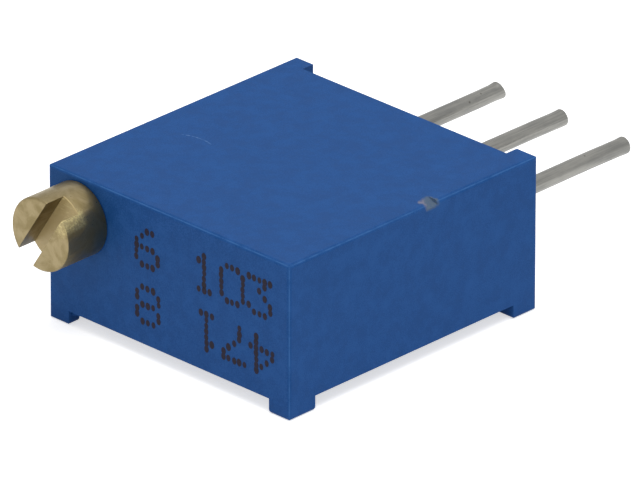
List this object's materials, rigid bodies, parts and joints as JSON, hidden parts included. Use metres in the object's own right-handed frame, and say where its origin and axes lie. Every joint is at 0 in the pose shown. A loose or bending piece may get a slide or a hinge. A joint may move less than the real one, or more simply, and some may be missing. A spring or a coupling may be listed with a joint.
{
  "type": "trimmer potentiometer",
  "caption": "Square blue multiturn trimmer potentiometer with a slotted brass screw on one narrow end and round pins in a row on the opposite end.",
  "frame": {"origin": "on the middle pin's axis, in the plane where the two end ribs meet the circuit board", "axes": "+Y along the pins, away from the screw head; +Z towards the plain large face, so the block lies on its four feet as pictured; +X towards the side away from the screw"},
  "size_m": [0.0096, 0.0177, 0.0048],
  "materials": {
    "blue_plastic": "satin, finely mottled moulding",
    "brass": "turned, dulled brass",
    "seal_rubber": "matte silicone rubber",
    "spring_steel": "stamped spring steel",
    "rotor_plastic": "natural nylon",
    "contact_alloy": "bright stamped contact alloy",
    "ceramic": "matte fired alumina, opaque",
    "cermet": "fired thick film, dull",
    "silver_film": "fired silver film, satin",
    "tinned_copper": "tinned, drawn along its length",
    "solder": "smooth solder",
    "potting": "cast epoxy, satin"
  },
  "bodies": {
    "case": {"housing": "blue_plastic", "substrate": "ceramic", "resistive_track": "cermet", "collector_track": "silver_film", "end_pad_1": "silver_film", "end_pad_3": "silver_film", "pin_1": "tinned_copper", "pin_2": "tinned_copper", "pin_3": "tinned_copper", "solder_1": "solder", "solder_2": "solder", "solder_3": "solder", "back_potting": "potting"},
    "screw": {"adjustment_screw": "brass", "shaft_seal": "seal_rubber", "snap_ring": "spring_steel"},
    "rotor": {"rotor_gear": "rotor_plastic", "wiper_contact": "contact_alloy"}
  },
  "joints": [
    {"name": "screw_turn", "type": "hinge", "parent": "case", "child": "screw", "pos_m": [-0.00349, -0.01003, 0.00114], "axis": [0, 1, 0], "range_deg": [-4500, 4500]},
    {"name": "rotor_turn", "type": "hinge", "parent": "case", "child": "rotor", "pos_m": [0.00046, -0.00527, 0.00114], "axis": [0, 0, 1], "range_deg": [-136.4, 136.4]}
  ],
  "couplings": [
    {"joint": "rotor_turn", "follows": "screw_turn", "ratio": 0.030303}
  ]
}
